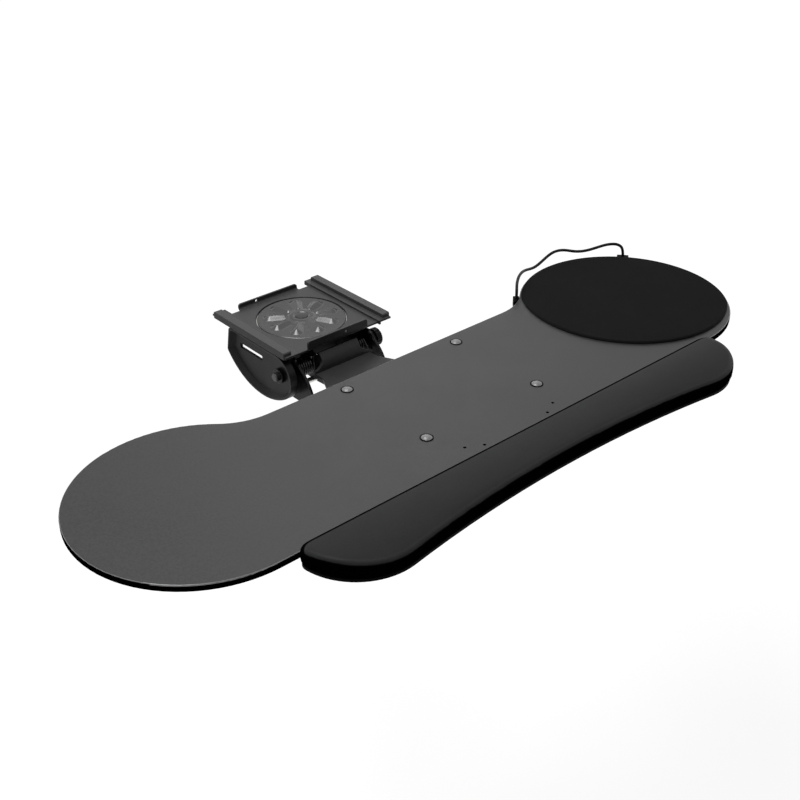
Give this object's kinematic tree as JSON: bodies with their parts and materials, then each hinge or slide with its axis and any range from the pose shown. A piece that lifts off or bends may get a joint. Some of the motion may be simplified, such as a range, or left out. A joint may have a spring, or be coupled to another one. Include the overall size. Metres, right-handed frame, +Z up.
{
  "type": "keyboard tray",
  "caption": "Articulating under-desk keyboard tray: two-lobed board with palm rest, round mouse pad and wire guard on a swivelling, lifting and tilting arm with a sliding carriage.",
  "frame": {"origin": "on the swivel axis, level with the tops of the two glides", "axes": "+X to the user's right, +Y along the track towards the wall, +Z up"},
  "size_m": [0.762, 0.457, 0.0884],
  "materials": {
    "plate_steel": "satin charcoal powder coat",
    "mechanism_steel": "satin black powder coat",
    "bright_steel": "zinc plated, lightly brushed",
    "glide_nylon": "moulded nylon, finely ribbed",
    "ring_nylon": "natural nylon",
    "board_laminate": "dark grey laminate with a fine grain",
    "rivet_steel": "grey coated steel",
    "pad_fabric": "black woven pad cloth",
    "palm_skin": "black vinyl skin, satin",
    "base_plastic": "black moulded plastic",
    "wire_coat": "black coated wire",
    "knob_plastic": "black moulded plastic, ribbed"
  },
  "bodies": {
    "carriage": {"slide_plate": "plate_steel", "left_glide": "glide_nylon", "right_glide": "glide_nylon", "upper_bearing_ring": "ring_nylon", "lower_bearing_ring": "ring_nylon"},
    "swivel": {"swivel_disc": "plate_steel", "hub_rivet": "plate_steel", "yoke": "mechanism_steel", "left_cheek": "mechanism_steel", "left_spacer": "mechanism_steel", "right_spacer": "mechanism_steel", "lift_shaft": "bright_steel", "shaft_collar": "mechanism_steel", "link_rod": "bright_steel"},
    "knob": {"tension_knob": "knob_plastic"},
    "arm": {"lift_arm": "mechanism_steel", "spring_rod": "bright_steel", "left_spring": "bright_steel", "right_spring": "bright_steel"},
    "links": {"left_link": "mechanism_steel", "right_link": "mechanism_steel"},
    "head": {"tilt_head": "mechanism_steel", "arm_pin": "bright_steel", "link_pin": "bright_steel", "tilt_pin": "bright_steel"},
    "tray": {"board": "board_laminate", "tray_bracket": "mechanism_steel", "board_rivets": "rivet_steel", "mouse_pad": "pad_fabric", "palm_rest": "palm_skin", "palm_rest_base": "base_plastic", "left_palm_bracket": "mechanism_steel", "right_palm_bracket": "mechanism_steel", "bracket_screws": "bright_steel", "base_screws": "bright_steel", "guard_wire": "wire_coat", "left_wire_clip": "base_plastic", "right_wire_clip": "base_plastic", "clip_screws": "bright_steel"}
  },
  "joints": [
    {"name": "swivel", "type": "hinge", "parent": "carriage", "child": "swivel", "pos_m": [0, 0, 0], "axis": [0, 0, 1], "continuous": true},
    {"name": "lift", "type": "hinge", "parent": "swivel", "child": "arm", "pos_m": [0, -0.0447, -0.0345], "axis": [-1, 0, 0], "range_deg": [-55, 15]},
    {"name": "link_swing", "type": "hinge", "parent": "swivel", "child": "links", "pos_m": [0, -0.0447, -0.0545], "axis": [-1, 0, 0], "range_deg": [-55, 15]},
    {"name": "head_level", "type": "hinge", "parent": "arm", "child": "head", "pos_m": [0, -0.1567, -0.027], "axis": [1, 0, 0], "range_deg": [-55, 15]},
    {"name": "tray_tilt", "type": "hinge", "parent": "head", "child": "tray", "pos_m": [0, -0.176, -0.016], "axis": [-1, 0, 0], "range_deg": [-15, 15]},
    {"name": "knob_turn", "type": "hinge", "parent": "swivel", "child": "knob", "pos_m": [0.0638, -0.0447, -0.0345], "axis": [1, 0, 0], "continuous": true}
  ],
  "couplings": [
    {"joint": "head_level", "follows": "lift", "ratio": 1},
    {"joint": "link_swing", "follows": "lift", "ratio": 1}
  ]
}
